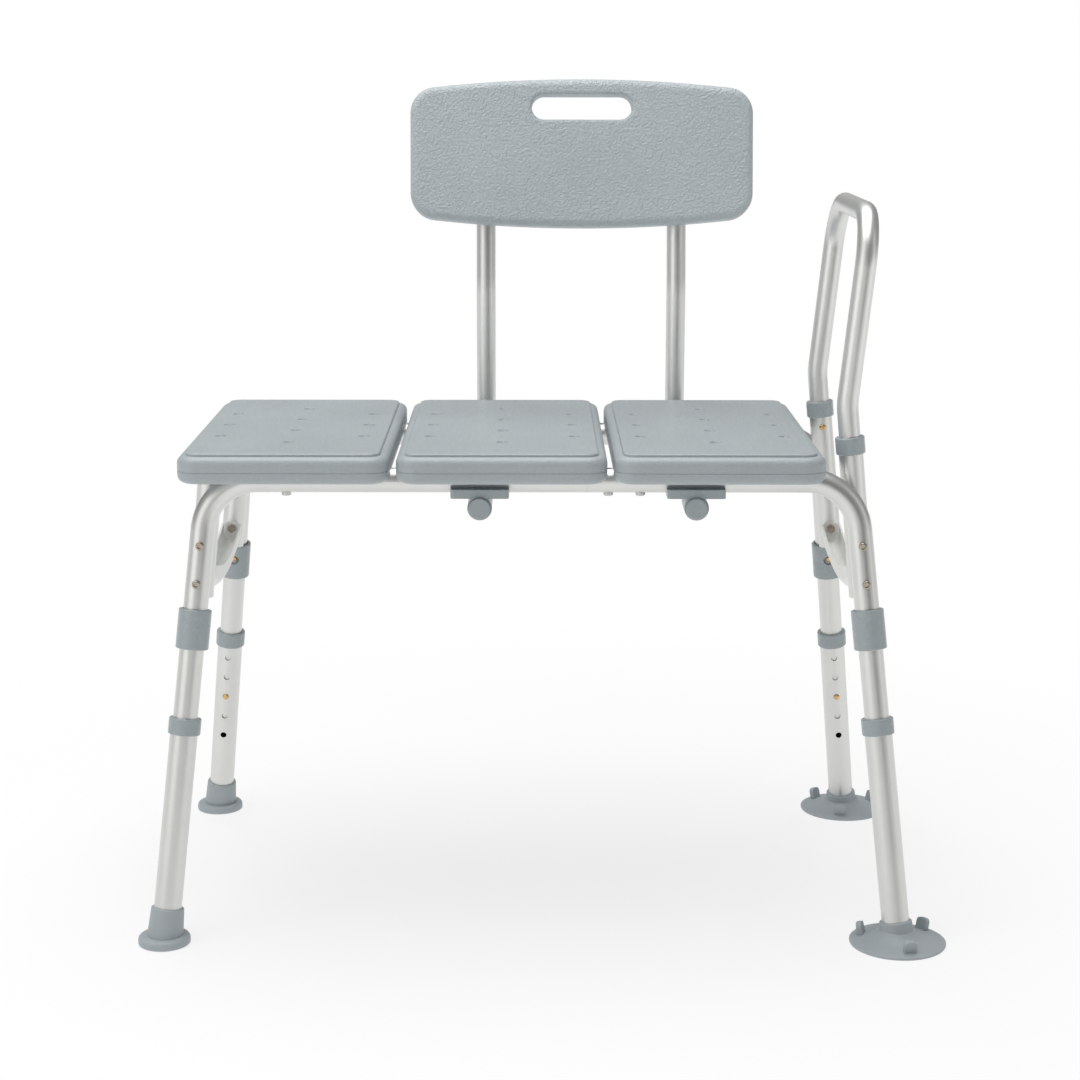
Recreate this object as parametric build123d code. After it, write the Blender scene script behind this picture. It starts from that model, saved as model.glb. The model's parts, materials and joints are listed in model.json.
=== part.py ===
"""Bath transfer bench: an aluminium tube frame on four telescopic legs, three plastic seat panels, a pull-out
backrest and a lift-off arm hoop. One STEP per piece, in millimetres.

X runs across the bench with the arm hoop at +X, Y runs from the front edge (-Y) to the backrest (+Y), Z is up.
The origin is on the floor, at the middle of the footprint."""

from build123d import *
import math
import os

# ---------------------------------------------------------------- clearances
running_gap = 0.1            # radial, between tubes that slide in each other
hoop_gap = 0.4               # radial, between the arm hoop and its sockets
post_gap = 0.2               # between a post and the rail that bends down past it
seat_gap = 0.15              # between a moulded saddle and the tube in it
hole_gap = 0.2               # radial, round bolts and buttons
touch_gap = 0.02             # between faces that rest on each other

# ---------------------------------------------------------------- frame
rail_height = 477.0          # centre line of both seat rails above the floor
rail_half_spacing = 147.0    # each rail's centre line from the middle of the bench
side_splay = 5.8             # how far the legs lean out sideways, degrees
end_splay = 8.4              # how far the legs lean out to front and back, degrees
rail_bend_radius = 57.0
frame_tube_od = 25.4
tube_wall = 1.2
leg_outreach = 49.0          # leg axis at the floor beyond half the panels' total pitch
rail_joint_inset = 23.5      # joint of a rail's halves before the gap of the middle and right panels
rail_sleeve_back = 60.0      # how far the inner sleeve reaches into the left half
rail_sleeve_length = 140.0
sleeve_bolt_places = (22.0, 55.0)  # from the rail joint, into the right half

# ---------------------------------------------------------------- side posts and braces, from the rails' height
post_below_rail = 127.0      # lower ends of the posts
left_post_below_rail = 5.0   # upper ends of the left posts
arm_socket_above_rail = 38.0
post_screws_below_rail = (104.0, 65.0)
brace_width = 22.0
brace_depth = 24.0
brace_wall = 2.0
brace_sag = 18.0
brace_below_rail = 96.0      # the brace's upper edge where it meets the posts

# ---------------------------------------------------------------- legs, measured along a leg's axis
joint_below_rail = 166.6     # where the leg tube meets the frame tube
leg_neck_length = 50.0       # reduced end of the leg tube, inside the frame tube
shoulder_length = 8.0        # thick part of the leg tube where its neck begins
clamp_below_joint = 8.8
clamp_length = 41.5
clamp_wall = 4.2
clamp_recess_depth = 3.0
clamp_window_radius = 6.0
clamp_button_above_joint = 16.0
extension_below_joint = 84.7
extension_wall = 1.5
extension_low = 12.0         # the extension's lower end, above the floor
height_step = 25.4
height_holes = 5
button_below_extension = 76.8      # from the extension's top to the middle hole, where the button stands
leg_tube_below_button = 41.5
collar_wall = 2.45
collar_length = 17.5
collar_lip = 4.0
ring_edge = 1.5              # rounding of the clamps' and collars' edges

# ---------------------------------------------------------------- feet
tip_base_radius = 27.0
tip_base_thickness = 9.0
foot_wall = 2.7              # rubber round the extension, at a neck's top
tip_neck_flare = 2.0         # how much wider a tip's neck is at its base
tip_height = 37.0
suction_radius = 50.0
suction_height = 23.0
suction_neck_flare = 1.5
suction_tabs = 3
suction_tab_width = 13.0
suction_tab_height = 15.0
suction_tab_thickness = 5.5

# ---------------------------------------------------------------- seat
seat_panels = 3
panel_pitch = 222.0
panel_gap = 7.0
panel_reach = 49.0           # how far the panels stand out in front of and behind the rails' centre lines
panel_above_rail = 3.0       # underside above the rails' centre lines
panel_rim_thickness = 28.0
plateau_rise = 3.0
plateau_inset = 9.0
panel_corner_radius = 22.0
panel_edge_radius = 8.0
panel_skin = 2.6
parting_above_underside = 12.4
seat_centre_x = -30.5
drain_pitch = 76.0
drain_hole_radius = 3.0
drain_dimple_radius = 6.5
drain_dimple_depth = 5.0

# ---------------------------------------------------------------- backrest
back_tube_od = 22.2
back_bolt_room = 11.6        # from a back tube's side to the bolt of the bracket that holds it
back_tube_drop = 1.5         # gap between a rail's underside and the back tube under it
back_tube_gap = 4.9          # behind the seat's back edge
back_tube_end = 2.0          # how far the tubes reach out in front of the front brackets
back_kink_above_rail = 164.0
back_kink_radius = 90.0
back_lean = 10.0
back_panel_overhang = 87.0   # how far the panel reaches past each tube's centre line
back_panel_height = 170.2    # along its lean
back_panel_above_rail = 229.4
back_panel_thickness = 30.0
back_panel_crown = 12.5      # rise of its top edge, and drop of its bottom edge, at the middle
back_panel_corner_radius = 30.0
back_panel_skin = 3.5
back_panel_front_edge = 9.0  # rounding of the front's outline
back_panel_back_edge = 6.0
handle_slot_edge = 4.0
plug_length = 14.0
plug_cap = 3.0
back_tube_sink = 9.0         # how deep the tubes lie in the panel's back
back_tube_top_margin = 52.0
handle_slot_length = 116.0
handle_slot_height = 29.0
handle_slot_drop = 32.5      # slot centre below the panel's top edge
bracket_margin = 7.3         # bracket's end beyond its bolt
bracket_length = 44.0
bracket_floor = 2.8          # plastic under the rail
bracket_bar_thickness = 9.0
bracket_ring_wall = 1.5
bracket_web_width = 12.0

# ---------------------------------------------------------------- arm hoop, from the rails' height
hoop_below_rail = 53.0
hoop_kink_above_rail = 76.0
hoop_top_above_rail = 266.0  # centre line of the top bar
hoop_lean = 11.6             # lean outwards above the kink, from the sockets' direction
hoop_kink_radius = 80.0
hoop_corner_radius = 52.0
arm_collar_wall = 2.55
arm_collar_above_rail = 24.5
arm_collar_length = 18.0
arm_button_above_rail = 13.5

# ---------------------------------------------------------------- fasteners and buttons
bolt_radius = 3.0
bolt_head_radius = 5.0
bolt_head_height = 3.2
bolt_head_edge = 1.4
screw_head_radius = 4.4      # of the post screws
screw_recess_radius = 2.5
nut_radius = 5.0
nut_height = 4.5
spacer_radius = 7.0
panel_screw_radius = 2.5
panel_screw_head_radius = 4.5
panel_screw_bite = 11.0      # how far a panel screw goes in beyond the tube
button_radius = 3.4
button_stand = 2.0           # how far a button stands out of the tube around it
leaf_thickness = 0.6
leaf_width = 5.0
leaf_length = 32.0
leaf_inset = 1.3             # leaf's middle from the bore of the tube that carries it

# ---------------------------------------------------------------- values that follow
side_slope = math.tan(math.radians(side_splay))
end_slope = math.tan(math.radians(end_splay))
leg_stretch = math.sqrt(1 + side_slope**2 + end_slope**2)    # length along a leg per unit of height
post_stretch = math.sqrt(1 + side_slope**2)
foot_half_width = seat_panels * panel_pitch / 2 + leg_outreach
panel_depth = 2 * (rail_half_spacing + panel_reach)
panel_centres = [seat_centre_x + (i - (seat_panels - 1) / 2) * panel_pitch for i in range(seat_panels)]
panel_underside = rail_height + panel_above_rail
panel_rim_top = panel_underside + panel_rim_thickness
seat_bolt_top = panel_rim_top - panel_edge_radius
parting_height = panel_underside + parting_above_underside
rail_joint_x = panel_centres[-1] - panel_pitch / 2 - rail_joint_inset
frame_r = frame_tube_od / 2
frame_bore = frame_r - tube_wall
extension_r = frame_r + running_gap + extension_wall
collar_r = extension_r + collar_wall
clamp_r = frame_r + running_gap + clamp_wall
hoop_r = frame_bore - hoop_gap
arm_collar_r = frame_r + arm_collar_wall
leg_joint = rail_height * leg_stretch - joint_below_rail
clamp_low = leg_joint - clamp_below_joint
clamp_button_place = leg_joint + clamp_button_above_joint
extension_top = leg_joint - extension_below_joint
height_button_place = extension_top - button_below_extension
leg_tube_low = height_button_place - leg_tube_below_button
post_low = rail_height - post_below_rail
left_post_top = rail_height - left_post_below_rail
arm_socket_top = rail_height + arm_socket_above_rail
post_screw_heights = [rail_height - d for d in post_screws_below_rail]
brace_top = rail_height - brace_below_rail
hoop_low = rail_height - hoop_below_rail
hoop_kink_height = rail_height + hoop_kink_above_rail
hoop_top = rail_height + hoop_top_above_rail
arm_collar_low = rail_height + arm_collar_above_rail
arm_button_height = rail_height + arm_button_above_rail
back_r = back_tube_od / 2
back_kink_height = rail_height + back_kink_above_rail
back_panel_low = rail_height + back_panel_above_rail
back_tube_z = rail_height - frame_r - back_tube_drop - back_r
back_tube_y = panel_depth / 2 + back_tube_gap + back_r       # upright part, behind the seat
back_tube_front = -(rail_half_spacing + bracket_length / 2 + back_tube_end)
back_tube_bend_radius = back_tube_y - rail_half_spacing - bracket_length / 2 - 1.0
back_bolt_offset = back_r + back_bolt_room
back_tube_xs = [x - back_bolt_offset for x in panel_centres[-2:]]
back_centre_x = sum(back_tube_xs) / 2
back_panel_width = back_tube_xs[1] - back_tube_xs[0] + 2 * back_panel_overhang
bracket_width = 2 * (back_bolt_offset + bracket_margin)
bracket_underside = rail_height - frame_r - bracket_floor
BASE = (Align.CENTER, Align.CENTER, Align.MIN)
FRONT, REAR, LEFT, RIGHT = -1, 1, -1, 1
END_NAMES = {FRONT: "front", REAR: "rear"}
SIDE_NAMES = {LEFT: "left", RIGHT: "right"}


# ---------------------------------------------------------------- helpers
def corner_x(height):
    """X of a leg's axis, and of the post behind it, at a height."""
    return foot_half_width - height * side_slope


def leg_y(height):
    """Distance of a leg's axis from the middle of the bench, front to back, at a height."""
    return rail_half_spacing + (rail_height - height) * end_slope


def leg_frame(side, end):
    """Plane with Z up a leg's axis from the floor, and X facing in under the seat."""
    foot = (side * foot_half_width, end * leg_y(0), 0)
    return Plane(origin=foot, x_dir=(0, -end, 0), z_dir=(-side * side_slope, -end * end_slope, 1))


def side_frame(side):
    """Plane with Z up the posts' direction from the floor, and Y front to back."""
    return Plane(origin=(side * foot_half_width, 0, 0), x_dir=(1, 0, 0), z_dir=(-side * side_slope, 0, 1))


def rod(radius, start, end):
    """Solid cylinder between two points."""
    start, end = Vector(*start), Vector(*end)
    return Plane(origin=start, z_dir=end - start) * Cylinder(radius, (end - start).length, align=BASE)


def upright_pipe(outer, inner, low, high):
    """Tube along Z between two levels."""
    ring = Cylinder(outer, high - low, align=BASE) - Cylinder(inner, high - low, align=BASE)
    return Pos(0, 0, low) * ring


def swept(path, radius):
    """Solid round bar along a path."""
    return sweep(Plane(origin=path @ 0, z_dir=path % 0) * Circle(radius), path=path)


def bent_tube(path, outer, wall):
    return swept(path, outer) - swept(path, outer - wall)


def facing_hole(radius, place):
    """Bar along local X from the axis outwards, to cut a hole in a leg's inner side."""
    return rod(radius, (0, 0, place), (2 * clamp_r, 0, place))


def bolt_hole(x, y, height):
    """Upright bar that cuts a bolt's hole through a rail."""
    return rod(bolt_radius + hole_gap, (x, y, height - 2 * frame_r), (x, y, height + 2 * frame_r))


def screw_hole(x, y, height):
    """Bar from front to back that cuts a screw's hole through a leg or post."""
    return rod(bolt_radius + hole_gap, (x, y - 2 * frame_r, height), (x, y + 2 * frame_r, height))


def first_edges(shape, axis, end):
    """The edge of a shape that lies furthest to one end of an axis."""
    return shape.edges().sort_by(axis)[0 if end == FRONT else -1]


def snap_button(place, carrier_bore, cover_radius):
    """Spring button along local X: a domed stud riveted to a leaf that lies inside the carrying tube."""
    leaf_x = carrier_bore - leaf_inset
    tip = cover_radius + button_stand
    stud = rod(button_radius, (leaf_x, 0, place), (tip, 0, place))
    stud = fillet(stud.edges().sort_by(Axis.X)[-1], button_radius * 0.55)
    leaf = Box(leaf_thickness, leaf_width, leaf_length)
    return stud + Pos(leaf_x, 0, place - leaf_length / 2 + button_radius) * leaf


# ---------------------------------------------------------------- frame tubes
def rail_path(side, end, inner_x):
    """Centre line of half a rail and the leg that it bends down into."""
    low = leg_joint / leg_stretch
    return FilletPolyline(
        (inner_x, end * rail_half_spacing, rail_height),
        (side * corner_x(rail_height), end * rail_half_spacing, rail_height),
        (side * corner_x(low), end * leg_y(low), low),
        radius=rail_bend_radius,
    )


def posts_beside_bends():
    """Distance of the posts from the middle, front to back: as far out as they clear the rails' bends."""
    path = rail_path(RIGHT, REAR, 0)
    reach = frame_tube_od + post_gap
    limits = []
    for i in range(401):
        point = path @ (i / 400)
        aside = abs(point.X - corner_x(point.Z)) / post_stretch
        if aside < reach:
            limits.append(point.Y - math.sqrt(reach**2 - aside**2))
    return min(limits)


post_half_spacing = posts_beside_bends()


def rail_bolt_places():
    """X of every bolt that goes up through a rail, with the bolt's kind."""
    sleeve = [(rail_joint_x + d, "sleeve") for d in sleeve_bolt_places]
    return [(x, "seat") for x in panel_centres] + sleeve


def rail_half(side, end):
    tube = bent_tube(rail_path(side, end, rail_joint_x + side * 0.1), frame_r, tube_wall)
    y = end * rail_half_spacing
    for x, _ in rail_bolt_places():
        if (x - rail_joint_x) * side > 0:
            tube -= bolt_hole(x, y, rail_height)
    for height in post_screw_heights:
        tube -= screw_hole(side * corner_x(height), end * leg_y(height), height)
    return tube - leg_frame(side, end) * facing_hole(button_radius + hole_gap, clamp_button_place)


def rail_sleeve(end):
    """Inner tube that joins the two halves of a rail."""
    y, start = end * rail_half_spacing, rail_joint_x - rail_sleeve_back
    outer = frame_bore - running_gap
    sleeve = rod(outer, (start, y, rail_height), (start + rail_sleeve_length, y, rail_height))
    sleeve -= rod(outer - tube_wall, (start, y, rail_height), (start + rail_sleeve_length, y, rail_height))
    for d in sleeve_bolt_places:
        sleeve -= bolt_hole(rail_joint_x + d, y, rail_height)
    return sleeve


def post(side, end, top):
    """Upright tube behind a leg. The tall ones on the right are the arm hoop's sockets."""
    low, high = post_low * post_stretch, top * post_stretch
    pipe = upright_pipe(frame_r, frame_bore, low, high)
    tube = side_frame(side) * (Pos(0, end * post_half_spacing, 0) * pipe)
    for height in post_screw_heights:
        tube -= screw_hole(side * corner_x(height), end * post_half_spacing, height)
    return tube


def arm_socket(end):
    """Tall right-hand post that the arm hoop stands in."""
    return post(RIGHT, end, arm_socket_top) - arm_button_hole(end)


def arm_button_hole(end):
    """Bar that cuts the hole for the hoop's button, in the post's inner side."""
    hole = rod(button_radius + hole_gap, (0, 0, 0), (0, -end * 2 * frame_r, 0))
    return side_frame(RIGHT) * (Pos(0, end * post_half_spacing, arm_button_height * post_stretch) * hole)


def brace_path():
    """Centre line of a brace's bottom edge: an arc that sags between the posts' inner faces."""
    reach = post_half_spacing - frame_r - seat_gap
    ends = (brace_top - brace_depth) * post_stretch
    return ThreePointArc((0, -reach, ends), (0, 0, ends - brace_sag), (0, reach, ends))


def side_brace(side):
    """Round-bottomed open channel that ties the front post to the rear one, with an end plate on each."""
    path = brace_path()
    half = brace_width / 2
    trough = Pos(0, half) * Circle(half)
    trough += Pos(0, (half + brace_depth) / 2) * Rectangle(brace_width, brace_depth - half)
    inner = half - brace_wall
    hollow = Pos(0, half) * Circle(inner)
    hollow += Pos(0, half + brace_depth / 2) * Rectangle(2 * inner, brace_depth)
    start = Plane(origin=path @ 0, x_dir=(-1, 0, 0), z_dir=path % 0)
    channel = sweep(start * (trough - hollow), path=path)
    reach = post_half_spacing - frame_r - seat_gap
    middle = brace_top * post_stretch - brace_depth / 2
    block = Box(2 * brace_width, 2 * reach, 4 * brace_depth)
    channel = channel & (Pos(0, 0, middle) * block)
    for end in (FRONT, REAR):
        plate = Plane(origin=(0, end * reach, middle), x_dir=(1, 0, 0), z_dir=(0, -end, 0))
        outline = RectangleRounded(brace_width, brace_depth, half * 0.98)
        channel += extrude(plate * outline, brace_wall)
    channel = side_frame(side) * channel
    height = post_screw_heights[0]
    x = side * corner_x(height)
    far = rail_half_spacing
    return channel - rod(bolt_radius + hole_gap, (x, -far, height), (x, far, height))


def leg_around(side, end):
    """Solid bar just wider than a leg's frame tube, to shape what rests on the tube."""
    return leg_frame(side, end) * Cylinder(frame_r + touch_gap, 2 * rail_height, align=BASE)


def screw_faces(height, end):
    """Y of the leg tube's outer face, and of the surface that the nut sits on, for a post screw."""
    outside = leg_y(height) + frame_r * leg_stretch
    inside = post_half_spacing - frame_r
    if height == post_screw_heights[0]:
        inside -= seat_gap + brace_wall
    return end * outside, end * inside


def post_screws():
    """Button-head screws through leg and post, with their nuts."""
    made = []
    for side in (LEFT, RIGHT):
        for end in (FRONT, REAR):
            leg = leg_around(side, end)
            for height in post_screw_heights:
                x = side * corner_x(height)
                outside, inside = screw_faces(height, end)
                nut_end = inside - end * nut_height
                top = outside + end * bolt_head_height
                head = rod(screw_head_radius, (x, outside - end * bolt_head_edge, height), (x, top, height))
                head = fillet(first_edges(head, Axis.Y, end), bolt_head_edge)
                recess = rod(screw_recess_radius, (x, outside + end, height), (x, 2 * top, height))
                shaft = rod(bolt_radius, (x, outside, height), (x, nut_end - end, height))
                made.append((head - leg - recess) + shaft)
                nut_plane = Plane(origin=(x, inside, height), z_dir=(0, -end, 0))
                nut = extrude(nut_plane * RegularPolygon(nut_radius, 6), nut_height)
                made.append(nut - rod(bolt_radius, (x, inside + end, height), (x, nut_end - end, height)))
    return made


def post_spacers():
    """Saddle spacers that fill the gap between each leg and its post, round the screws."""
    made = []
    for side in (LEFT, RIGHT):
        for end in (FRONT, REAR):
            leg = leg_around(side, end)
            upright = Cylinder(frame_r + touch_gap, 2 * rail_height, align=BASE)
            upright = side_frame(side) * (Pos(0, end * post_half_spacing, 0) * upright)
            for height in post_screw_heights:
                x = side * corner_x(height)
                far = end * leg_y(height)
                body = rod(spacer_radius, (x, end * post_half_spacing, height), (x, far, height))
                body -= rod(bolt_radius + hole_gap, (x, 0, height), (x, 2 * far, height))
                made.append((body - leg - upright).solids().sort_by(SortBy.VOLUME)[-1])
    return made


def rail_bolts():
    """Bolts up through the rails: one per panel and rail, and two for each rail's sleeve."""
    made = []
    for end in (FRONT, REAR):
        y = end * rail_half_spacing
        for x, kind in rail_bolt_places():
            on_bracket = kind == "seat" and x in panel_centres[-2:]
            held = bracket_underside if on_bracket else rail_height - frame_r
            top = seat_bolt_top if kind == "seat" else rail_height
            shaft = rod(bolt_radius, (x, y, held - 1), (x, y, top))
            head_top = held - touch_gap if on_bracket else held + 2
            head = rod(bolt_head_radius, (x, y, held - bolt_head_height), (x, y, head_top))
            head = fillet(first_edges(head, Axis.Z, FRONT), bolt_head_edge)
            if not on_bracket:
                head -= rod(frame_r + touch_gap, (x - frame_r, y, rail_height), (x + frame_r, y, rail_height))
            made.append(head + shaft)
    return made


# ---------------------------------------------------------------- legs
def leg_tube():
    """Middle tube of a leg: its reduced neck goes up into the frame tube."""
    neck_r = frame_bore - running_gap
    top = leg_joint - seat_gap
    tube = upright_pipe(frame_r, frame_bore, leg_tube_low, top)
    tube += upright_pipe(frame_r, neck_r - tube_wall, top - shoulder_length, top)
    tube += upright_pipe(neck_r, neck_r - tube_wall, top - shoulder_length, leg_joint + leg_neck_length)
    for place in (clamp_button_place, height_button_place):
        tube -= facing_hole(button_radius + hole_gap, place)
    return tube


def leg_clamp():
    """Plastic sleeve over the joint of frame and leg, with a recessed top and a window for the button."""
    sleeve = Cylinder(clamp_r, clamp_length, align=BASE)
    sleeve = fillet(sleeve.edges().filter_by(GeomType.CIRCLE), ring_edge)
    sleeve -= Cylinder(frame_r + running_gap, clamp_length, align=BASE)
    recess = Cylinder(frame_r + tube_wall, clamp_recess_depth, align=BASE)
    sleeve = Pos(0, 0, clamp_low) * (sleeve - Pos(0, 0, clamp_length - clamp_recess_depth) * recess)
    return sleeve - facing_hole(clamp_window_radius, clamp_button_place)


def ring_over(outer, length, lip, tube_r, inner_r, tube_top):
    """Plastic ring on a tube's upper end, whose lip closes round the tube that slides inside."""
    low = tube_top + lip - length
    ring = Cylinder(outer, length, align=BASE)
    ring = Pos(0, 0, low) * fillet(ring.edges().filter_by(GeomType.CIRCLE), ring_edge)
    ring -= Pos(0, 0, low) * Cylinder(tube_r + touch_gap, length - lip, align=BASE)
    return ring - Pos(0, 0, low) * Cylinder(inner_r + running_gap, length, align=BASE)


def leg_extension():
    """Outer tube of a leg, with the row of height holes."""
    tube = upright_pipe(extension_r, frame_r + running_gap, extension_low, extension_top)
    for i in range(height_holes):
        place = height_button_place + (i - (height_holes - 1) / 2) * height_step
        tube -= facing_hole(button_radius + hole_gap, place)
    return tube


def extension_collar():
    """Plastic ring on the extension's top end, with a lip over the tube's edge."""
    return ring_over(collar_r, collar_length, collar_lip, extension_r, frame_r, extension_top)


def foot_bore(side, end):
    """The extension tube's seat in a foot."""
    hole = Cylinder(extension_r + touch_gap, 2 * tip_height, align=BASE)
    return leg_frame(side, end) * (Pos(0, 0, extension_low) * hole)


def above_level(level):
    """Everything above a level, as far out as the feet reach."""
    return Pos(0, 0, level) * Box(4 * foot_half_width, 4 * rail_height, rail_height, align=BASE)


def foot_neck(side, end, flare, height):
    """Conical neck of a foot, along the leg's axis."""
    low = foot_wall
    top_r = extension_r + foot_wall
    neck = Cone(top_r + flare, top_r, height * leg_stretch - low, align=BASE)
    neck = fillet(first_edges(neck, Axis.Z, REAR), ring_edge)
    return (leg_frame(side, end) * (Pos(0, 0, low) * neck)) & above_level(2)


def rubber_tip(side, end):
    """Ferrule round a leg's end, with a broad level base."""
    base = Cylinder(tip_base_radius, tip_base_thickness, align=BASE)
    base = fillet(first_edges(base, Axis.Z, REAR), tip_base_thickness * 0.45)
    base = fillet(first_edges(base, Axis.Z, FRONT), ring_edge)
    base = Pos(side * foot_half_width, end * leg_y(0), 0) * base
    return base + foot_neck(side, end, tip_neck_flare, tip_height) - foot_bore(side, end)


def suction_foot(side, end):
    """Suction cup with a raised neck for the leg and three pull tabs."""
    r, dome, roof = suction_radius, suction_height * 0.65, suction_height * 0.19
    neck_r = extension_r + foot_wall
    with BuildSketch(Plane.XZ) as half:
        with BuildLine():
            Polyline((0, roof), (r * 0.44, roof), (r * 0.68, roof * 0.75), (r * 0.88, 1), (r * 0.94, 0),
                     (r - 0.5, 0), (r, 0.8), (r, 2.4))
            Spline((r, 2.4), (r * 0.78, roof * 1.15), (neck_r + 7, dome * 0.62), (neck_r + 0.5, dome))
            Line((neck_r + 0.5, dome), (0, dome))
            Line((0, dome), (0, roof))
        make_face()
    cup = revolve(half.sketch, Axis.Z)
    tab_plane = Plane(origin=(r * 0.70, 0, roof), x_dir=(0, 1, 0), z_dir=(1, 0, -0.25))
    outline = RectangleRounded(suction_tab_width, suction_tab_height, suction_tab_width / 3)
    tab = extrude(tab_plane * (Pos(0, suction_tab_height / 2 - 1) * outline), suction_tab_thickness)
    first = -80 if end == FRONT else -100
    for i in range(suction_tabs):
        cup += Rot(0, 0, first + i * 360 / suction_tabs) * tab
    cup = Pos(side * foot_half_width, end * leg_y(0), 0) * cup
    return cup + foot_neck(side, end, suction_neck_flare, suction_height) - foot_bore(side, end)


def footprint_middle():
    """Middle of the feet's footprint, left to right, from the middle of the frame."""
    return (rubber_tip(LEFT, FRONT).bounding_box().min.X + suction_foot(RIGHT, FRONT).bounding_box().max.X) / 2


base_shift = footprint_middle()


# ---------------------------------------------------------------- seat
def drain_places():
    """Three columns of drain holes: four in the middle one, three beside it."""
    middle = [(0, (i - 1.5) * drain_pitch) for i in range(4)]
    sides = [(sx * drain_pitch, i * drain_pitch) for sx in (-1, 1) for i in (-1, 0, 1)]
    return middle + sides


def rounded_block(width, depth, radius, low, high):
    return extrude(Plane.XY.offset(low) * RectangleRounded(width, depth, radius), high - low)


def seat_panel():
    """Hollow moulded panel with a raised top, drain holes and saddles over the rails, about its own centre."""
    width = panel_pitch - panel_gap
    shell = rounded_block(width, panel_depth, panel_corner_radius, panel_underside, panel_rim_top)
    shell = fillet(shell.faces().sort_by(Axis.Z)[-1].edges(), panel_edge_radius)
    shell = fillet(shell.faces().sort_by(Axis.Z)[0].edges(), panel_edge_radius)
    inset = 2 * plateau_inset
    top = panel_rim_top + plateau_rise
    raised = rounded_block(width - inset, panel_depth - inset, panel_corner_radius - plateau_inset,
                           panel_rim_top - 1, top)
    raised = fillet(raised.faces().sort_by(Axis.Z)[-1].edges(), plateau_rise * 0.67)
    shell += raised
    groove = rounded_block(width + 4, panel_depth + 4, panel_corner_radius,
                           parting_height - 0.5, parting_height + 0.5)
    groove -= rounded_block(width - 0.8, panel_depth - 0.8, panel_corner_radius - 0.4,
                            parting_height - 1, parting_height + 1)
    shell -= groove
    skin = 2 * panel_skin
    hollow = rounded_block(width - skin - 3, panel_depth - skin - 3, panel_corner_radius - panel_skin,
                           panel_underside + panel_edge_radius, panel_rim_top - panel_skin)
    for x, y in drain_places():
        hollow -= Pos(x, y, 0) * Cylinder(drain_dimple_radius + panel_skin, 4 * panel_rim_top)
    for end in (FRONT, REAR):
        y = end * rail_half_spacing
        around = 2 * (frame_r + panel_skin)
        hollow -= Pos(0, y, rail_height) * Box(2 * width, around, around)
        hollow -= Pos(0, y, 0) * Cylinder(bolt_radius + 1.5 * panel_skin, 4 * panel_rim_top)
        saddle = rod(frame_r + seat_gap, (-width, y, rail_height), (width, y, rail_height))
        shell -= saddle
        shell -= Pos(0, y, 0) * Cylinder(bolt_radius + touch_gap, seat_bolt_top, align=BASE)
    shell -= hollow
    for x, y in drain_places():
        shell -= Pos(x, y, 0) * Cylinder(drain_hole_radius, 2 * panel_rim_top, align=BASE)
        cone = Cone(drain_hole_radius, drain_dimple_radius, drain_dimple_depth, align=BASE)
        shell -= Pos(x, y, top - drain_dimple_depth) * cone
    return shell


# ---------------------------------------------------------------- backrest
def back_bracket(x, end):
    """Moulded holder under a rail: a saddle bar held by the seat bolt, with a ring for the back tube."""
    y = end * rail_half_spacing
    low = bracket_underside
    bar = Pos(x, y, low) * Box(bracket_width, bracket_length, bracket_bar_thickness, align=BASE)
    bar = fillet(bar.edges().filter_by(Axis.Z), bracket_bar_thickness * 0.45)
    ring_r = back_r + bracket_ring_wall
    ring = rod(ring_r, (x, y - bracket_length / 2, back_tube_z), (x, y + bracket_length / 2, back_tube_z))
    web = Pos(x, y, back_tube_z) * Box(bracket_web_width, bracket_length, low - back_tube_z + 1, align=BASE)
    held = bar + ring + web
    held -= rod(frame_r + seat_gap, (x - bracket_width, y, rail_height), (x + bracket_width, y, rail_height))
    far = bracket_length
    held -= rod(back_r + running_gap, (x, y - far, back_tube_z), (x, y + far, back_tube_z))
    return held - bolt_hole(x + back_bolt_offset, y, low)


def back_frame():
    """Plane of the backrest's lean: Z up along the tubes above the kink, Y towards the back."""
    lean = math.radians(back_lean)
    up = (0, math.sin(lean), math.cos(lean))
    return Plane(origin=(back_centre_x, back_tube_y, back_kink_height), x_dir=(1, 0, 0), z_dir=up)


def back_panel_span():
    """Levels of the panel's lower and upper edge centres, in the backrest's own plane."""
    low = (back_panel_low - back_kink_height) / math.cos(math.radians(back_lean))
    return low, low + back_panel_height


def back_tube(x):
    low, high = back_panel_span()
    top = back_frame().from_local_coords(Vector(0, 0, high - back_tube_top_margin))
    path = FilletPolyline(
        (x, back_tube_front, back_tube_z),
        (x, back_tube_y, back_tube_z),
        (x, back_tube_y, back_kink_height),
        (x, top.Y, top.Z),
        radius=[back_tube_bend_radius, back_kink_radius],
    )
    tube = bent_tube(path, back_r, tube_wall)
    for level in back_screw_levels():
        at, reach = x - back_centre_x, 2 * back_r
        tube -= back_frame() * rod(panel_screw_radius + hole_gap, (at, -reach, level), (at, reach, level))
    return tube


def back_screw_levels():
    low, high = back_panel_span()
    return low + 38, high - back_tube_top_margin - 22


def back_panel_outline():
    """Face of the backrest: straight sides, round corners, gently bowed top and bottom edges."""
    low, high = back_panel_span()
    half = back_panel_width / 2
    with BuildSketch() as sketch:
        with BuildLine():
            ThreePointArc((-half, high - back_panel_crown), (0, high), (half, high - back_panel_crown))
            Line((half, high - back_panel_crown), (half, low + back_panel_crown))
            ThreePointArc((half, low + back_panel_crown), (0, low), (-half, low + back_panel_crown))
            Line((-half, low + back_panel_crown), (-half, high - back_panel_crown))
        make_face()
        fillet(sketch.vertices(), back_panel_corner_radius)
    return sketch.sketch


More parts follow.
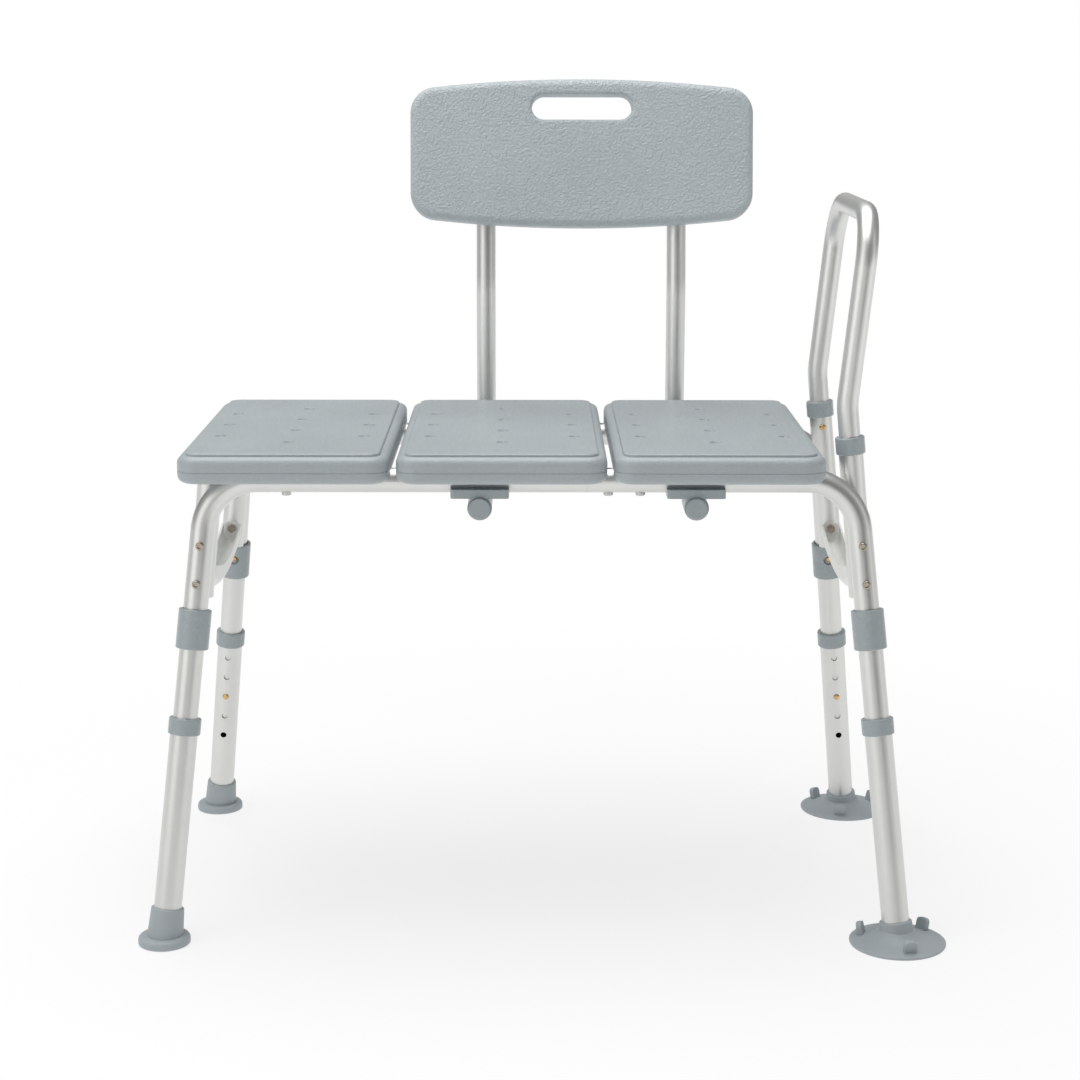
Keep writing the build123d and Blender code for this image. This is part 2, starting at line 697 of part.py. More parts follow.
def back_panel():
    """Hollow moulded panel with a handle slot, and channels in its back for the two tubes."""
    low, high = back_panel_span()
    skin = back_panel_skin
    back_face = -back_r + back_tube_sink
    front_face = back_face - back_panel_thickness
    slot_z = high - handle_slot_drop
    channel_top = high - back_tube_top_margin + 2

    def facing(y, z=0):
        """Plane that looks out of the panel's front, at a depth and level."""
        return Plane(origin=(0, y, z), x_dir=(1, 0, 0), z_dir=(0, -1, 0))

    body = extrude(facing(back_face) * back_panel_outline(), back_panel_thickness)
    body = fillet(body.faces().sort_by(Axis.Y)[0].edges(), back_panel_front_edge)
    body = fillet(body.faces().sort_by(Axis.Y)[-1].edges(), back_panel_back_edge)
    inner = offset(back_panel_outline(), amount=-back_panel_front_edge)
    core = extrude(facing(back_face - skin) * inner, back_panel_thickness - 2 * skin)
    wall = SlotOverall(handle_slot_length + 4 * skin, handle_slot_height + 4 * skin)
    core -= extrude(facing(back_face + 1, slot_z) * wall, back_panel_thickness + 2)
    for x in back_tube_xs:
        at, half = x - back_centre_x, back_r + skin
        core -= Pos(at, 0, (low + high) / 2) * Box(2 * half, 2 * half, 2 * (high - low))
        for level in back_screw_levels():
            core -= rod(panel_screw_radius + skin, (at, 0, level), (at, front_face + skin, level))
    body -= core
    body -= extrude(facing(back_face + 1, slot_z) * SlotOverall(handle_slot_length, handle_slot_height),
                    back_panel_thickness + 2)
    for face_y in (front_face, back_face):
        rim = [e for e in body.edges() if abs(e.center().Y - face_y) < touch_gap
               and abs(e.center().Z - slot_z) <= handle_slot_height / 2 + touch_gap
               and abs(e.center().X) <= handle_slot_length / 2 + touch_gap]
        body = fillet(rim, handle_slot_edge)
    for x in back_tube_xs:
        at = x - back_centre_x
        body -= rod(back_r + seat_gap, (at, 0, low - back_r), (at, 0, channel_top))
        mouth = Box(2 * (back_r + seat_gap), back_r, channel_top - low + back_r, align=BASE)
        body -= Pos(at, back_r / 2, low - back_r) * mouth
        deep = -back_r - panel_screw_bite - 1
        for level in back_screw_levels():
            body -= rod(panel_screw_radius + touch_gap, (at, 0, level), (at, deep, level))
    return back_frame() * body


def back_screws():
    """Screws through the tubes into the panel's back, two to each tube."""
    made = []
    for x in back_tube_xs:
        at = x - back_centre_x
        for level in back_screw_levels():
            head = rod(panel_screw_head_radius, (at, back_r - 0.8, level), (at, back_r + 2.4, level))
            head = fillet(first_edges(head, Axis.Y, REAR), 1.2)
            head -= rod(back_r + touch_gap, (at, 0, level - back_r), (at, 0, level + back_r))
            shaft = rod(panel_screw_radius, (at, back_r + 0.5, level), (at, -back_r - panel_screw_bite, level))
            made.append(back_frame() * (head + shaft))
    return made


def back_tube_plugs():
    """Round plugs in the front ends of the back tubes."""
    y, z = back_tube_front, back_tube_z
    made = []
    for x in back_tube_xs:
        stem = rod(back_r - tube_wall - touch_gap, (x, y - 1, z), (x, y + plug_length, z))
        cap = rod(back_r, (x, y - plug_cap, z), (x, y - touch_gap, z))
        made.append(fillet(first_edges(cap, Axis.Y, FRONT), plug_cap * 0.4) + stem)
    return made


# ---------------------------------------------------------------- arm hoop
def arm_hoop():
    """Bent tube that stands in the two right-hand posts, in the posts' own frame."""
    kink, low = hoop_kink_height * post_stretch, hoop_low * post_stretch
    rise = (hoop_top - hoop_kink_height) * post_stretch
    out = rise * math.tan(math.radians(hoop_lean))
    path = FilletPolyline(
        (0, -post_half_spacing, low),
        (0, -post_half_spacing, kink),
        (out, -post_half_spacing, kink + rise),
        (out, post_half_spacing, kink + rise),
        (0, post_half_spacing, kink),
        (0, post_half_spacing, low),
        radius=[hoop_kink_radius, hoop_corner_radius, hoop_corner_radius, hoop_kink_radius],
    )
    hoop = side_frame(RIGHT) * bent_tube(path, hoop_r, tube_wall)
    return hoop - arm_button_hole(FRONT) - arm_button_hole(REAR)


def arm_collar(end):
    """Plastic ring on a socket's top end, round the hoop tube."""
    top = arm_socket_top * post_stretch
    lip = arm_collar_low * post_stretch + arm_collar_length - top
    ring = ring_over(arm_collar_r, arm_collar_length, lip, frame_r, hoop_r, top)
    return side_frame(RIGHT) * (Pos(0, end * post_half_spacing, 0) * ring)


def arm_button(end):
    """Spring button of the hoop, facing in under the arm."""
    turned = Rot(0, 0, -90 * end)
    place = Pos(0, end * post_half_spacing, arm_button_height * post_stretch)
    return side_frame(RIGHT) * (place * (turned * snap_button(0, hoop_r - tube_wall, frame_r)))


# ---------------------------------------------------------------- assembly
def all_pieces():
    """Every node's name and shape, in the frame's own coordinates."""
    pieces = {}
    for side in (LEFT, RIGHT):
        for end in (FRONT, REAR):
            where = f"{END_NAMES[end]}_{SIDE_NAMES[side]}"
            at_leg = leg_frame(side, end)
            pieces[f"rail_{where}"] = rail_half(side, end)
            pieces[f"leg_tube_{where}"] = at_leg * leg_tube()
            pieces[f"leg_clamp_{where}"] = at_leg * leg_clamp()
            pieces[f"clamp_button_{where}"] = at_leg * snap_button(
                clamp_button_place, frame_bore - running_gap - tube_wall, frame_r)
            pieces[f"leg_extension_{where}"] = at_leg * leg_extension()
            pieces[f"extension_collar_{where}"] = at_leg * extension_collar()
            button = snap_button(height_button_place, frame_bore, extension_r)
            pieces[f"height_button_{where}"] = at_leg * button
            foot = rubber_tip if side == LEFT else suction_foot
            pieces[f"{'rubber_tip' if side == LEFT else 'suction_foot'}_{END_NAMES[end]}"] = foot(side, end)
        pieces[f"side_brace_{SIDE_NAMES[side]}"] = side_brace(side)
    for end in (FRONT, REAR):
        name = END_NAMES[end]
        pieces[f"side_post_{name}"] = post(LEFT, end, left_post_top)
        pieces[f"arm_socket_{name}"] = arm_socket(end)
        pieces[f"arm_collar_{name}"] = arm_collar(end)
        pieces[f"arm_button_{name}"] = arm_button(end)
        for x, tube_side in zip(back_tube_xs, ("left", "right")):
            pieces[f"back_bracket_{name}_{tube_side}"] = back_bracket(x, end)
    for x, tube_side in zip(back_tube_xs, ("left", "right")):
        pieces[f"back_tube_{tube_side}"] = back_tube(x)
    panel = seat_panel()
    for x, place in zip(panel_centres, ("left", "middle", "right")):
        pieces[f"seat_panel_{place}"] = Pos(x, 0, 0) * panel
    pieces["arm_hoop"] = arm_hoop()
    pieces["back_panel"] = back_panel()
    pieces["back_screws"] = back_screws()
    pieces["back_tube_plugs"] = back_tube_plugs()
    pieces["rail_sleeves"] = [rail_sleeve(end) for end in (FRONT, REAR)]
    pieces["rail_bolts"] = rail_bolts()
    pieces["post_screws"] = post_screws()
    pieces["post_spacers"] = post_spacers()
    return pieces


os.makedirs("parts", exist_ok=True)
for name, shape in all_pieces().items():
    solids = [s for item in (shape if isinstance(shape, list) else [shape]) for s in item.solids()]
    moved = [Pos(-base_shift, 0, 0) * s for s in solids]
    export_step(moved[0] if len(moved) == 1 else Compound(children=moved), f"parts/{name}.step")
    print(name, len(solids), round(sum(s.volume for s in solids)))
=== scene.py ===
"""Looks of the bath transfer bench, laid out as an add-on: one operator finishes each group of pieces."""
import json
import math

import bpy
from bpy.props import FloatProperty, FloatVectorProperty, PointerProperty
from mathutils import Euler, Matrix, Vector

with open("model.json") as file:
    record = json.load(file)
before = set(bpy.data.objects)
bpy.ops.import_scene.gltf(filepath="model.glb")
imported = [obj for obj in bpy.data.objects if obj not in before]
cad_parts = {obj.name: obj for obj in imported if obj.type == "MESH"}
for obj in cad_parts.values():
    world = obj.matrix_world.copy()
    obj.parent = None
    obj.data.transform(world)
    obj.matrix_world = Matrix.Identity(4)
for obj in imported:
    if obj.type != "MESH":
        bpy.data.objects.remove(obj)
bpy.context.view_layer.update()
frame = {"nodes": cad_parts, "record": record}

bl_info = {
    "name": "Bath transfer bench finish",
    "version": (1, 0, 0),
    "blender": (4, 5, 0),
    "location": "3D View > Sidebar > Bench",
    "description": "Finishes the tubes, moulded panels, fittings and feet of a bath transfer bench",
    "category": "Object",
}

NODES = frame["nodes"]
SLOT_OF = {part["node"]: part["material_slot"] for part in frame["record"]["subparts"]}

# noise scales are in cells per metre
TUBE_CLOUD_SCALE, TUBE_GRAIN_SCALE, TUBE_MARK_SCALE = 14.0, 950.0, 55.0
PANEL_CLOUD_SCALE, STREAK_SCALE, GRIT_SCALE = 9.0, 520.0, 1100.0
STREAK_STRETCH = (1.0, 0.085, 1.0)      # streaks run front to back
FITTING_CLOUD_SCALE, FITTING_GRAIN_SCALE = 60.0, 1300.0
METAL_CLOUD_SCALE, METAL_GRAIN_SCALE = 420.0, 1900.0

FLOOR_HALF = 40.0
FLOOR_COLOUR = (0.93, 0.93, 0.93, 1)
WHITE = (1, 1, 1, 1)
FLAG_CORNERS = [(0.75, -2.75, 0), (1.75, -2.2, 0), (1.75, -2.2, 2.6), (0.75, -2.75, 2.6)]
KEY_LIGHT = {"place": (-1.9, -1.75, 1.3), "target": (0, 0, 0.55), "size": (2.0, 2.2)}
FILL_LIGHT = {"place": (2.5, -0.75, 1.2), "target": (0, 0, 0.5), "size": (0.9, 2.4)}
TOP_LIGHT = {"place": (-0.3, 0.1, 3.2), "target": (0, 0, 0), "size": (3.4, 3.0)}
SENSOR_WIDTH = 36.0


# ---------------------------------------------------------------- settings
class BenchFinishes(bpy.types.PropertyGroup):
    """Colours and surface figures of the bench's materials."""
    aluminium: FloatVectorProperty(
        name="Anodised aluminium", description="Colour of the frame tubes", subtype="COLOR",
        size=3, min=0, max=1, default=(0.72, 0.72, 0.70))
    # The seat and backrest plastics differ partly in their own tone and partly as painted light: the darker
    # seat colour paints shade onto the seat fronts, with the top light made strong to bring the seat tops
    # back up, and the lighter backrest colour paints light onto the backrest.
    moulded: FloatVectorProperty(
        name="Seat plastic", description="Colour of the seat panels", subtype="COLOR",
        size=3, min=0, max=1, default=(0.385, 0.425, 0.44))
    back: FloatVectorProperty(
        name="Backrest plastic", description="Colour of the backrest panel", subtype="COLOR",
        size=3, min=0, max=1, default=(0.47, 0.52, 0.54))
    fitting: FloatVectorProperty(
        name="Fitting plastic", description="Colour of clamps, collars and brackets", subtype="COLOR",
        size=3, min=0, max=1, default=(0.345, 0.39, 0.405))
    rubber: FloatVectorProperty(
        name="Foot rubber", description="Colour of the tips and the suction feet", subtype="COLOR",
        size=3, min=0, max=1, default=(0.375, 0.415, 0.435))
    brass: FloatVectorProperty(
        name="Button brass", description="Colour of the spring buttons", subtype="COLOR",
        size=3, min=0, max=1, default=(0.72, 0.47, 0.20))
    screw: FloatVectorProperty(
        name="Screw metal", description="Colour of the dark post screws", subtype="COLOR",
        size=3, min=0, max=1, default=(0.44, 0.385, 0.32))
    zinc: FloatVectorProperty(
        name="Zinc plate", description="Colour of the bolts under the seat", subtype="COLOR",
        size=3, min=0, max=1, default=(0.58, 0.58, 0.56))
    grain_size: FloatProperty(
        name="Grain size", description="Width of one pebble of the moulded grain", subtype="DISTANCE",
        unit="LENGTH", min=0.0003, max=0.01, default=0.0026)


class BenchStage(bpy.types.PropertyGroup):
    """Camera and lights."""
    distance: FloatProperty(
        name="Camera distance", description="From the middle of the bench to the camera, level",
        subtype="DISTANCE", unit="LENGTH", min=0.5, max=10, default=2.447)
    height: FloatProperty(
        name="Camera height", description="Camera above the floor", subtype="DISTANCE", unit="LENGTH",
        min=0.1, max=3, default=0.902)
    aside: FloatProperty(
        name="Camera aside", description="Camera to the side of the footprint's middle",
        subtype="DISTANCE", unit="LENGTH", min=-1, max=1, default=-0.0129)
    tilt: FloatProperty(
        name="Camera tilt", description="How far the camera looks down", subtype="ANGLE", unit="ROTATION",
        min=0, max=math.radians(60), default=math.radians(11.98))
    turn: FloatProperty(
        name="Camera turn", description="How far the camera looks to the right", subtype="ANGLE",
        unit="ROTATION", min=math.radians(-10), max=math.radians(10), default=math.radians(0.252))
    roll: FloatProperty(
        name="Camera roll", description="Turn about the line of sight", subtype="ANGLE", unit="ROTATION",
        min=math.radians(-5), max=math.radians(5), default=math.radians(0.1))
    lens: FloatProperty(
        name="Lens", description="Focal length on a 36 mm sensor, in millimetres",
        min=20, max=200, default=75.7)
    key_power: FloatProperty(
        name="Key light", description="Power of the tall soft light on the left", unit="POWER",
        min=0, max=500, default=14)
    fill_power: FloatProperty(
        name="Fill light", description="Power of the tall soft light on the right", unit="POWER",
        min=0, max=500, default=4)
    top_power: FloatProperty(
        name="Top light", description="Power of the large soft light above", unit="POWER",
        min=0, max=500, default=98)
    surround: FloatProperty(
        name="Surround", description="Brightness of the surround that lights the bench",
        min=0, max=5, default=0.27)
    floor_reach: FloatProperty(
        name="Floor reach", description="Radius within which the floor shows shadows", subtype="DISTANCE",
        unit="LENGTH", min=0.2, max=10, default=0.75)


# ---------------------------------------------------------------- material nodes
def new_material(name):
    made = bpy.data.materials.new(name)
    made.use_nodes = True
    return made, made.node_tree.nodes, made.node_tree.links, made.node_tree.nodes["Principled BSDF"]


def node(nodes, kind, **values):
    """A shader node with some inputs or properties set."""
    made = nodes.new(kind)
    for key, value in values.items():
        if key in made.inputs:
            made.inputs[key].default_value = value
        else:
            setattr(made, key, value)
    return made


def shift(colour, factor):
    """A lighter or darker shade of a colour."""
    return tuple(min(1.0, c * factor) for c in colour[:3]) + (1.0,)


def mottle(nodes, links, coords, colour, scale, low, high, detail=4.0):
    """Colour that varies a little, by noise, between two shades of itself."""
    noise = node(nodes, "ShaderNodeTexNoise", Scale=scale, Detail=detail, Roughness=0.6)
    ramp = nodes.new("ShaderNodeValToRGB")
    ramp.color_ramp.elements[0].position, ramp.color_ramp.elements[1].position = 0.3, 0.7
    ramp.color_ramp.elements[0].color = shift(colour, low)
    ramp.color_ramp.elements[1].color = shift(colour, high)
    links.new(coords.outputs["Object"], noise.inputs["Vector"])
    links.new(noise.outputs["Fac"], ramp.inputs["Fac"])
    return ramp.outputs["Color"], noise.outputs["Fac"]


def spread(nodes, links, value, low, high):
    """A 0 to 1 value brought into a range."""
    mapped = nodes.new("ShaderNodeMapRange")
    mapped.inputs["To Min"].default_value, mapped.inputs["To Max"].default_value = low, high
    links.new(value, mapped.inputs["Value"])
    return mapped.outputs["Result"]


def bump(nodes, links, height, strength, distance, before=None):
    made = node(nodes, "ShaderNodeBump", Strength=strength, Distance=distance)
    links.new(height, made.inputs["Height"])
    if before is not None:
        links.new(before, made.inputs["Normal"])
    return made.outputs["Normal"]


def anodised_aluminium(name, colour, roughness, metal):
    """Satin anodised tube: matt silver with faint draw lines and a few handling marks."""
    made, nodes, links, shader = new_material(name)
    coords = nodes.new("ShaderNodeTexCoord")
    tint, cloud = mottle(nodes, links, coords, colour, TUBE_CLOUD_SCALE, 0.96, 1.03)
    links.new(tint, shader.inputs["Base Color"])
    fine = node(nodes, "ShaderNodeTexNoise", Scale=TUBE_GRAIN_SCALE, Detail=3.0, Roughness=0.7)
    links.new(coords.outputs["Object"], fine.inputs["Vector"])
    marks = node(
        nodes, "ShaderNodeTexNoise", Scale=TUBE_MARK_SCALE, Detail=8.0, Roughness=0.75, Distortion=0.6)
    links.new(coords.outputs["Object"], marks.inputs["Vector"])
    both = node(nodes, "ShaderNodeMath", operation="MULTIPLY")
    links.new(marks.outputs["Fac"], both.inputs[0])
    links.new(cloud, both.inputs[1])
    uneven = spread(nodes, links, both.outputs["Value"], roughness, roughness + 0.2)
    links.new(uneven, shader.inputs["Roughness"])
    links.new(bump(nodes, links, fine.outputs["Fac"], 0.08, 0.0002), shader.inputs["Normal"])
    shader.inputs["Metallic"].default_value = metal
    return made


def pebble_plastic(name, colour, grain, depth, roughness):
    """Moulded polyethylene with a leather-like pebble grain."""
    made, nodes, links, shader = new_material(name)
    coords = nodes.new("ShaderNodeTexCoord")
    tint, cloud = mottle(nodes, links, coords, colour, PANEL_CLOUD_SCALE, 0.965, 1.03)
    warp = node(nodes, "ShaderNodeTexNoise", Scale=0.35 / grain, Detail=2.0, Roughness=0.5)
    links.new(coords.outputs["Object"], warp.inputs["Vector"])
    moved = node(nodes, "ShaderNodeVectorMath", operation="MULTIPLY_ADD")
    moved.inputs[1].default_value = (grain * 2.2,) * 3
    links.new(warp.outputs["Color"], moved.inputs[0])
    links.new(coords.outputs["Object"], moved.inputs[2])
    cells = node(nodes, "ShaderNodeTexVoronoi", feature="SMOOTH_F1", Scale=1.0 / grain, Smoothness=0.6)
    links.new(moved.outputs["Vector"], cells.inputs["Vector"])
    fine = node(nodes, "ShaderNodeTexNoise", Scale=1.6 / grain, Detail=3.0, Roughness=0.6)
    links.new(coords.outputs["Object"], fine.inputs["Vector"])
    first = bump(nodes, links, cells.outputs["Distance"], depth, grain * 0.5)
    both = bump(nodes, links, fine.outputs["Fac"], depth * 0.5, grain * 0.15, first)
    links.new(both, shader.inputs["Normal"])
    # The edges of the grain's pebbles are coloured up to about a tenth darker than their middles.
    pebble_edge_darkening = node(nodes, "ShaderNodeMix", data_type="RGBA", blend_type="MULTIPLY")
    pebble_edge_darkening.inputs["Factor"].default_value = 0.16
    links.new(tint, pebble_edge_darkening.inputs["A"])
    links.new(spread(nodes, links, cells.outputs["Distance"], 1.0, 0.4), pebble_edge_darkening.inputs["B"])
    links.new(pebble_edge_darkening.outputs["Result"], shader.inputs["Base Color"])
    links.new(spread(nodes, links, cloud, roughness - 0.05, roughness + 0.07), shader.inputs["Roughness"])
    shader.inputs["Specular IOR Level"].default_value = 0.42
    return made


def streaked_plastic(name, colour, roughness):
    """Moulded polyethylene whose fine grain runs front to back."""
    made, nodes, links, shader = new_material(name)
    coords = nodes.new("ShaderNodeTexCoord")
    tint, cloud = mottle(nodes, links, coords, colour, PANEL_CLOUD_SCALE, 0.97, 1.02)
    stretch = node(nodes, "ShaderNodeMapping", vector_type="POINT")
    stretch.inputs["Scale"].default_value = STREAK_STRETCH
    links.new(coords.outputs["Object"], stretch.inputs["Vector"])
    streaks = node(
        nodes, "ShaderNodeTexNoise", Scale=STREAK_SCALE, Detail=5.0, Roughness=0.62, Distortion=0.25)
    links.new(stretch.outputs["Vector"], streaks.inputs["Vector"])
    grit = node(nodes, "ShaderNodeTexNoise", Scale=GRIT_SCALE, Detail=2.0, Roughness=0.6)
    links.new(coords.outputs["Object"], grit.inputs["Vector"])
    shade = node(nodes, "ShaderNodeMix", data_type="RGBA", blend_type="MULTIPLY")
    shade.inputs["Factor"].default_value = 0.35
    links.new(tint, shade.inputs["A"])
    links.new(spread(nodes, links, streaks.outputs["Fac"], 0.62, 1.34), shade.inputs["B"])
    links.new(shade.outputs["Result"], shader.inputs["Base Color"])
    first = bump(nodes, links, streaks.outputs["Fac"], 0.6, 0.0006)
    links.new(bump(nodes, links, grit.outputs["Fac"], 0.2, 0.0002, first), shader.inputs["Normal"])
    links.new(spread(nodes, links, cloud, roughness - 0.04, roughness + 0.08), shader.inputs["Roughness"])
    return made


def smooth_plastic(name, colour, roughness, sheen=0.0):
    """Injection-moulded fitting: nearly smooth, with a soft gloss and faint flow marks."""
    made, nodes, links, shader = new_material(name)
    coords = nodes.new("ShaderNodeTexCoord")
    tint, cloud = mottle(nodes, links, coords, colour, FITTING_CLOUD_SCALE, 0.98, 1.015)
    links.new(tint, shader.inputs["Base Color"])
    fine = node(nodes, "ShaderNodeTexNoise", Scale=FITTING_GRAIN_SCALE, Detail=2.0, Roughness=0.6)
    links.new(coords.outputs["Object"], fine.inputs["Vector"])
    links.new(bump(nodes, links, fine.outputs["Fac"], 0.10, 0.0003), shader.inputs["Normal"])
    links.new(spread(nodes, links, cloud, roughness - 0.02, roughness + 0.05), shader.inputs["Roughness"])
    shader.inputs["Sheen Weight"].default_value = sheen
    return made


def worn_metal(name, colour, roughness):
    """Turned or plated metal with small bright wear marks."""
    made, nodes, links, shader = new_material(name)
    coords = nodes.new("ShaderNodeTexCoord")
    tint, cloud = mottle(nodes, links, coords, colour, METAL_CLOUD_SCALE, 0.82, 1.15)
    links.new(tint, shader.inputs["Base Color"])
    links.new(spread(nodes, links, cloud, roughness - 0.08, roughness + 0.14), shader.inputs["Roughness"])
    fine = node(nodes, "ShaderNodeTexNoise", Scale=METAL_GRAIN_SCALE, Detail=2.0, Roughness=0.6)
    links.new(coords.outputs["Object"], fine.inputs["Vector"])
    links.new(bump(nodes, links, fine.outputs["Fac"], 0.12, 0.0002), shader.inputs["Normal"])
    shader.inputs["Metallic"].default_value = 1.0
    return made


# ---------------------------------------------------------------- helpers
def finishes():
    return bpy.context.scene.bench_finishes


def carried_over(slot_name):
    """The CAD nodes of one material slot."""
    return [NODES[name] for name, slot in SLOT_OF.items() if slot == slot_name]


def dress(obj, material):
    """One material on a whole piece."""
    obj.data.materials.clear()
    obj.data.materials.append(material)


def dress_slot(slot_name, material):
    found = carried_over(slot_name)
    if not found:
        raise RuntimeError(f"no node has the material slot {slot_name}")
    for obj in found:
        dress(obj, material)


# ---------------------------------------------------------------- operators
class BENCH_OT_tubes(bpy.types.Operator):
    """Finish the aluminium frame, legs, backrest tubes and arm hoop"""
    bl_idname = "bench.tubes"
    bl_label = "Tubes"

    def execute(self, context):
        colour = finishes().aluminium
        dress_slot("tube_aluminium", anodised_aluminium("anodised_aluminium", colour, 0.34, 0.92))
        # The side braces get a copy of the tube aluminium painted 22 percent lighter and less metallic:
        # painted light that fills the shade inside their channels.
        painted_light_brace = anodised_aluminium("brace_aluminium_painted_light", shift(colour, 1.22), 0.55, 0.3)
        for name in ("side_brace_left", "side_brace_right"):
            dress(NODES[name], painted_light_brace)
        return {"FINISHED"}


class BENCH_OT_seat_panels(bpy.types.Operator):
    """Finish the three seat panels"""
    bl_idname = "bench.seat_panels"
    bl_label = "Seat panels"

    def execute(self, context):
        settings = finishes()
        dress_slot("seat_plastic", streaked_plastic("seat_plastic", settings.moulded, 0.36))
        return {"FINISHED"}


class BENCH_OT_back_panel(bpy.types.Operator):
    """Finish the backrest panel"""
    bl_idname = "bench.back_panel"
    bl_label = "Backrest panel"

    def execute(self, context):
        settings = finishes()
        grained = pebble_plastic("back_plastic", settings.back, settings.grain_size, 1.0, 0.42)
        dress_slot("back_plastic", grained)
        return {"FINISHED"}


class BENCH_OT_fittings(bpy.types.Operator):
    """Finish the clamps, collars, brackets and plugs"""
    bl_idname = "bench.fittings"
    bl_label = "Fittings"

    def execute(self, context):
        dress_slot("fitting_plastic", smooth_plastic("fitting_plastic", finishes().fitting, 0.26))
        return {"FINISHED"}


class BENCH_OT_feet(bpy.types.Operator):
    """Finish the rubber tips and the suction feet"""
    bl_idname = "bench.feet"
    bl_label = "Feet"

    def execute(self, context):
        dress_slot("foot_rubber", smooth_plastic("foot_rubber", finishes().rubber, 0.5, 0.1))
        return {"FINISHED"}


class BENCH_OT_fasteners(bpy.types.Operator):
    """Finish the buttons, screws and bolts"""
    bl_idname = "bench.fasteners"
    bl_label = "Buttons and screws"

    def execute(self, context):
        settings = finishes()
        dress_slot("button_brass", worn_metal("button_brass", settings.brass, 0.28))
        dress_slot("screw_metal", worn_metal("screw_metal", settings.screw, 0.20))
        dress_slot("bolt_metal", worn_metal("bolt_metal", settings.zinc, 0.34))
        return {"FINISHED"}


def soft_light(name, power, place, target, size):
    """An area light at a place, facing a target."""
    data = bpy.data.lights.new(name, "AREA")
    data.shape, data.size, data.size_y, data.energy = "RECTANGLE", size[0], size[1], power
    light = bpy.data.objects.new(name, data)
    light.location = place
    light.rotation_euler = (Vector(target) - Vector(place)).to_track_quat("-Z", "Y").to_euler()
    bpy.context.scene.collection.objects.link(light)


def flat_card(name, corners):
    """A flat face of the stage, such as the floor."""
    mesh = bpy.data.meshes.new(name)
    mesh.from_pydata(corners, [], [tuple(range(len(corners)))])
    card = bpy.data.objects.new(name, mesh)
    bpy.context.scene.collection.objects.link(card)
    return card


def floor_paint(reach):
    """Pale floor that turns into the white surround away from the bench."""
    made, nodes, links, shader = new_material("floor_white")
    shader.inputs["Base Color"].default_value = FLOOR_COLOUR
    shader.inputs["Roughness"].default_value = 0.8
    shader.inputs["Specular IOR Level"].default_value = 0.2
    coords = nodes.new("ShaderNodeTexCoord")
    away = node(nodes, "ShaderNodeVectorMath", operation="LENGTH")
    links.new(coords.outputs["Object"], away.inputs[0])
    fade = node(nodes, "ShaderNodeMapRange", interpolation_type="SMOOTHSTEP")
    fade.inputs["From Min"].default_value, fade.inputs["From Max"].default_value = reach * 0.45, reach * 1.7
    fade.inputs["To Min"].default_value = 0.7
    links.new(away.outputs["Value"], fade.inputs["Value"])
    glow = node(nodes, "ShaderNodeEmission", Strength=1.0)
    glow.inputs["Color"].default_value = WHITE
    both = nodes.new("ShaderNodeMixShader")
    links.new(fade.outputs["Result"], both.inputs[0])
    links.new(shader.outputs["BSDF"], both.inputs[1])
    links.new(glow.outputs["Emission"], both.inputs[2])
    links.new(both.outputs["Shader"], nodes["Material Output"].inputs["Surface"])
    return made


def white_surround(strength):
    """White behind the bench, with a dimmer surround for what lights it."""
    world = bpy.data.worlds.new("surround")
    world.use_nodes = True
    nodes, links = world.node_tree.nodes, world.node_tree.links
    light = nodes["Background"]
    light.inputs["Color"].default_value = WHITE
    light.inputs["Strength"].default_value = strength
    seen = node(nodes, "ShaderNodeBackground", Strength=1.0)
    seen.inputs["Color"].default_value = WHITE
    path, both = nodes.new("ShaderNodeLightPath"), nodes.new("ShaderNodeMixShader")
    links.new(path.outputs["Is Camera Ray"], both.inputs[0])
    links.new(light.outputs["Background"], both.inputs[1])
    links.new(seen.outputs["Background"], both.inputs[2])
    links.new(both.outputs["Shader"], nodes["World Output"].inputs["Surface"])
    bpy.context.scene.world = world


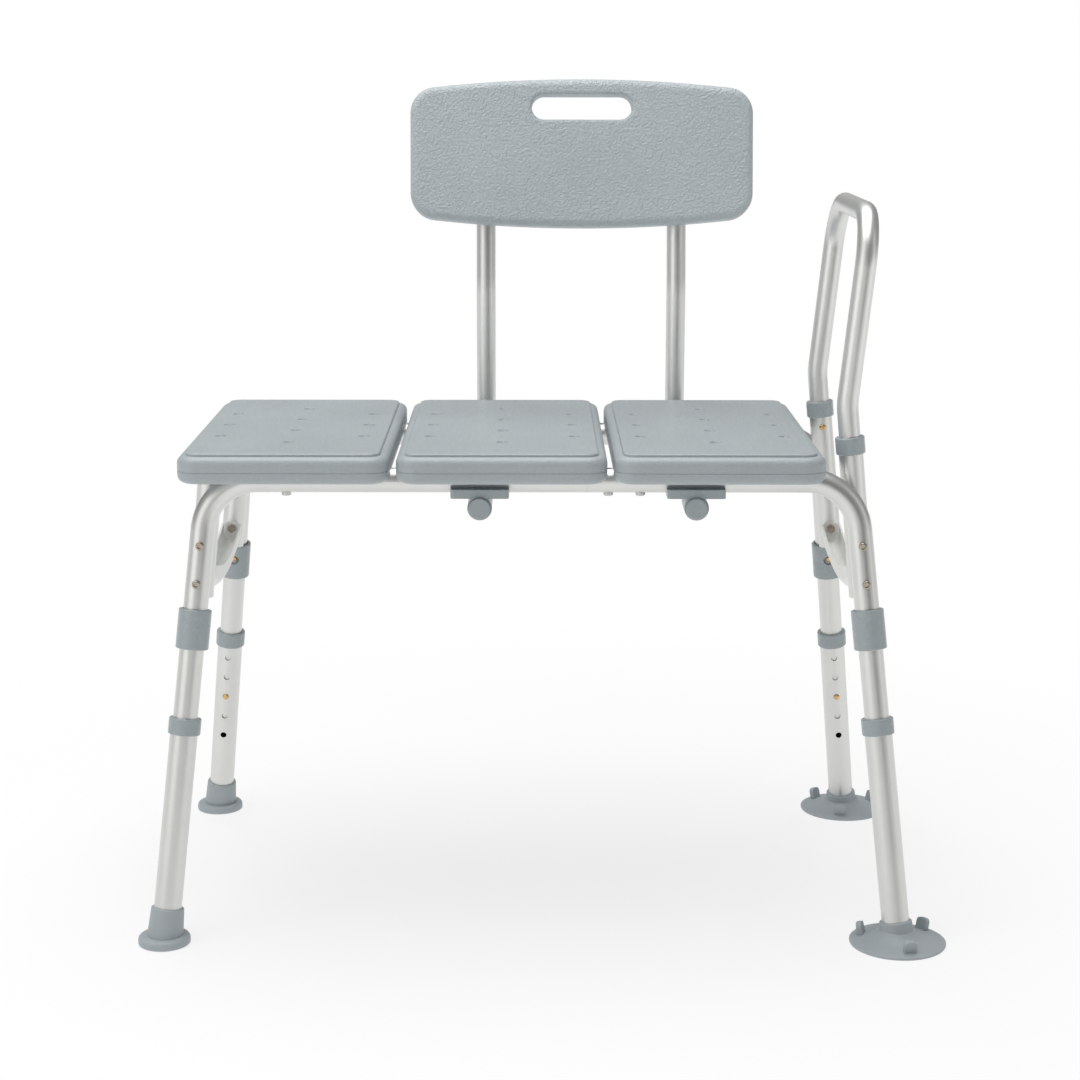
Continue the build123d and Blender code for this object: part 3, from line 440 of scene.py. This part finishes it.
class BENCH_OT_stage(bpy.types.Operator):
    """Lay the floor, set the lights and place the camera"""
    bl_idname = "bench.stage"
    bl_label = "Stage"

    def execute(self, context):
        scene, settings = context.scene, context.scene.bench_stage
        far = FLOOR_HALF
        floor = flat_card("floor", [(-far, -far, 0), (far, -far, 0), (far, far, 0), (-far, far, 0)])
        dress(floor, floor_paint(settings.floor_reach))
        flag = flat_card("dark_flag", FLAG_CORNERS)
        black, _, _, shader = new_material("flag_black")
        shader.inputs["Base Color"].default_value = (0.02, 0.02, 0.02, 1)
        shader.inputs["Roughness"].default_value = 0.9
        dress(flag, black)
        flag.visible_camera = flag.visible_shadow = False
        white_surround(settings.surround)
        soft_light("key", settings.key_power, **KEY_LIGHT)
        soft_light("fill", settings.fill_power, **FILL_LIGHT)
        soft_light("top", settings.top_power, **TOP_LIGHT)
        data = bpy.data.cameras.new("camera")
        data.lens, data.sensor_width = settings.lens, SENSOR_WIDTH
        camera = bpy.data.objects.new("camera", data)
        camera.location = (settings.aside, -settings.distance, settings.height)
        look = Euler((math.pi / 2 - settings.tilt, 0, -settings.turn), "XYZ").to_matrix()
        camera.rotation_euler = (look @ Matrix.Rotation(settings.roll, 3, "Z")).to_euler()
        scene.collection.objects.link(camera)
        scene.camera = camera
        scene.view_settings.view_transform = "Standard"
        return {"FINISHED"}


# ---------------------------------------------------------------- panel and registration
class BENCH_PT_pieces(bpy.types.Panel):
    """Lists what builds and finishes the bench."""
    bl_label = "Bath transfer bench"
    bl_idname = "BENCH_PT_pieces"
    bl_space_type = "VIEW_3D"
    bl_region_type = "UI"
    bl_category = "Bench"

    def draw(self, context):
        for operator in OPERATORS:
            self.layout.operator(operator.bl_idname)
        for group in (context.scene.bench_finishes, context.scene.bench_stage):
            box = self.layout.box()
            for name in group.__annotations__:
                box.prop(group, name)


OPERATORS = (BENCH_OT_tubes, BENCH_OT_seat_panels, BENCH_OT_back_panel, BENCH_OT_fittings, BENCH_OT_feet,
             BENCH_OT_fasteners, BENCH_OT_stage)
CLASSES = (BenchFinishes, BenchStage, *OPERATORS, BENCH_PT_pieces)


def register():
    for cls in CLASSES:
        bpy.utils.register_class(cls)
    bpy.types.Scene.bench_finishes = PointerProperty(type=BenchFinishes)
    bpy.types.Scene.bench_stage = PointerProperty(type=BenchStage)


def unregister():
    del bpy.types.Scene.bench_stage
    del bpy.types.Scene.bench_finishes
    for cls in reversed(CLASSES):
        bpy.utils.unregister_class(cls)


def main():
    register()
    for operator in OPERATORS:
        group, name = operator.bl_idname.split(".")
        if getattr(getattr(bpy.ops, group), name)() != {"FINISHED"}:
            raise RuntimeError(f"{operator.bl_label} did not finish")


if __name__ == "__main__":
    main()
